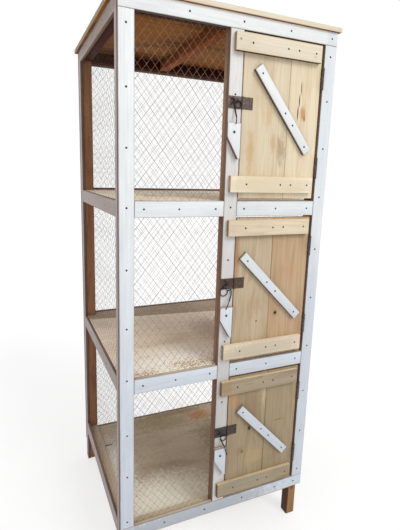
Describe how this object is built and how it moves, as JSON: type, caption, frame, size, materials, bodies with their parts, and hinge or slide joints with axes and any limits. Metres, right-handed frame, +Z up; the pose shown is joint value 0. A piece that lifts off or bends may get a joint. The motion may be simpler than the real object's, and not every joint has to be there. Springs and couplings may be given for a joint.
{
  "type": "pigeon cage",
  "caption": "Tall free-standing timber pigeon cage with stacked tiers, wire net sides and hinged plank doors with hasps and turn buttons.",
  "frame": {"origin": "on the ground, in the middle of the outline seen from above", "axes": "+Z up, +X to the right seen from the doors, +Y from the doors to the rear"},
  "size_m": [0.824, 0.8072, 2.01],
  "materials": {
    "raw_timber": "rough sawn softwood, reddish brown, unpainted",
    "roof_board": "plain board, matt",
    "floor_sheet": "pressed wood sheet, matt",
    "whitewashed_batten": "thin white wash over planed softwood, matt",
    "whitewashed_brace": "thick white wash over softwood, matt",
    "side_batten": "weathered wash over softwood, matt",
    "net_wire": "zinc-coated wire, dull",
    "nail_steel": "dark nail heads",
    "hinge_steel": "aged butt hinges",
    "aged_steel": "aged hasps and staples",
    "lock_wire": "dark bent wire",
    "bottom_door_wood": "raw softwood boards, olive brown",
    "middle_door_wood": "raw softwood boards, beige brown",
    "top_door_wood": "raw softwood boards, tan",
    "bottom_ledge_wood": "weathered grey-brown board",
    "middle_ledge_wood": "beige board",
    "top_ledge_wood": "pale cream board"
  },
  "bodies": {
    "cage": {"front_left_post": "raw_timber", "front_right_post": "raw_timber", "rear_left_post": "raw_timber", "rear_right_post": "raw_timber", "mullion_uprights": "raw_timber", "bottom_rails": "raw_timber", "lower_shelf_rails": "raw_timber", "upper_shelf_rails": "raw_timber", "top_rails": "raw_timber", "roof_joist": "raw_timber", "roof_board": "roof_board", "bottom_floor": "floor_sheet", "lower_shelf_floor": "floor_sheet", "upper_shelf_floor": "floor_sheet", "front_post_battens": "whitewashed_batten", "mullion_batten": "whitewashed_batten", "front_cross_battens": "whitewashed_batten", "left_battens": "side_batten", "right_battens": "side_batten", "rear_battens": "whitewashed_batten", "front_net": "net_wire", "left_net": "net_wire", "right_net": "net_wire", "rear_net": "net_wire", "front_nails": "nail_steel", "side_and_rear_nails": "nail_steel", "post_hinge_leaves": "hinge_steel", "hinge_pins": "nail_steel", "hasp_staples": "aged_steel", "button_nails": "nail_steel"},
    "bottom_door": {"bottom_door_boards": "bottom_door_wood", "bottom_door_ledges": "bottom_ledge_wood", "bottom_door_brace": "whitewashed_brace", "bottom_door_nails": "nail_steel", "bottom_door_hinge_leaves": "hinge_steel", "bottom_hasp_plate": "aged_steel"},
    "bottom_hasp": {"bottom_hasp_strap": "aged_steel"},
    "bottom_lock": {"bottom_lock_wire": "lock_wire"},
    "bottom_button": {"bottom_turn_button": "whitewashed_batten"},
    "middle_door": {"middle_door_boards": "middle_door_wood", "middle_door_ledges": "middle_ledge_wood", "middle_door_brace": "whitewashed_brace", "middle_door_nails": "nail_steel", "middle_door_hinge_leaves": "hinge_steel", "middle_hasp_plate": "aged_steel"},
    "middle_hasp": {"middle_hasp_strap": "aged_steel"},
    "middle_lock": {"middle_lock_wire": "lock_wire"},
    "middle_button": {"middle_turn_button": "whitewashed_batten"},
    "top_door": {"top_door_boards": "top_door_wood", "top_door_ledges": "top_ledge_wood", "top_door_brace": "whitewashed_brace", "top_door_nails": "nail_steel", "top_door_hinge_leaves": "hinge_steel", "top_hasp_plate": "aged_steel"},
    "top_hasp": {"top_hasp_strap": "aged_steel"},
    "top_lock": {"top_lock_wire": "lock_wire"},
    "top_button": {"top_turn_button": "whitewashed_batten"}
  },
  "joints": [
    {"name": "bottom_door_hinge", "type": "hinge", "parent": "cage", "child": "bottom_door", "pos_m": [0.344, -0.38587, 0.463], "axis": [0, 0, 1], "range_deg": [0, 110]},
    {"name": "bottom_hasp_hinge", "type": "hinge", "parent": "bottom_door", "child": "bottom_hasp", "pos_m": [0.021, -0.38517, 0.503], "axis": [0, 0, 1], "range_deg": [0, 95]},
    {"name": "bottom_lock_swing", "type": "hinge", "parent": "bottom_hasp", "child": "bottom_lock", "pos_m": [0.003, -0.38547, 0.4895], "axis": [1, 0, 0], "range_deg": [-70, 0]},
    {"name": "bottom_button_turn", "type": "hinge", "parent": "cage", "child": "bottom_button", "pos_m": [-0.014, -0.39037, 0.413], "axis": [0, 1, 0], "range_deg": [-90, 0]},
    {"name": "middle_door_hinge", "type": "hinge", "parent": "cage", "child": "middle_door", "pos_m": [0.344, -0.38587, 1.043], "axis": [0, 0, 1], "range_deg": [0, 110]},
    {"name": "middle_hasp_hinge", "type": "hinge", "parent": "middle_door", "child": "middle_hasp", "pos_m": [0.021, -0.38517, 1.095], "axis": [0, 0, 1], "range_deg": [0, 95]},
    {"name": "middle_lock_swing", "type": "hinge", "parent": "middle_hasp", "child": "middle_lock", "pos_m": [-0.021, -0.38547, 1.0815], "axis": [1, 0, 0], "range_deg": [-70, 0]},
    {"name": "middle_button_turn", "type": "hinge", "parent": "cage", "child": "middle_button", "pos_m": [-0.014, -0.39037, 0.981], "axis": [0, 1, 0], "range_deg": [-90, 0]},
    {"name": "top_door_hinge", "type": "hinge", "parent": "cage", "child": "top_door", "pos_m": [0.344, -0.38587, 1.652], "axis": [0, 0, 1], "range_deg": [0, 110]},
    {"name": "top_hasp_hinge", "type": "hinge", "parent": "top_door", "child": "top_hasp", "pos_m": [0.021, -0.38517, 1.719], "axis": [0, 0, 1], "range_deg": [0, 95]},
    {"name": "top_lock_swing", "type": "hinge", "parent": "top_hasp", "child": "top_lock", "pos_m": [0.003, -0.38547, 1.725], "axis": [1, 0, 0], "range_deg": [-70, 0]},
    {"name": "top_button_turn", "type": "hinge", "parent": "cage", "child": "top_button", "pos_m": [-0.014, -0.39037, 1.622], "axis": [0, 1, 0], "range_deg": [-90, 0]}
  ]
}
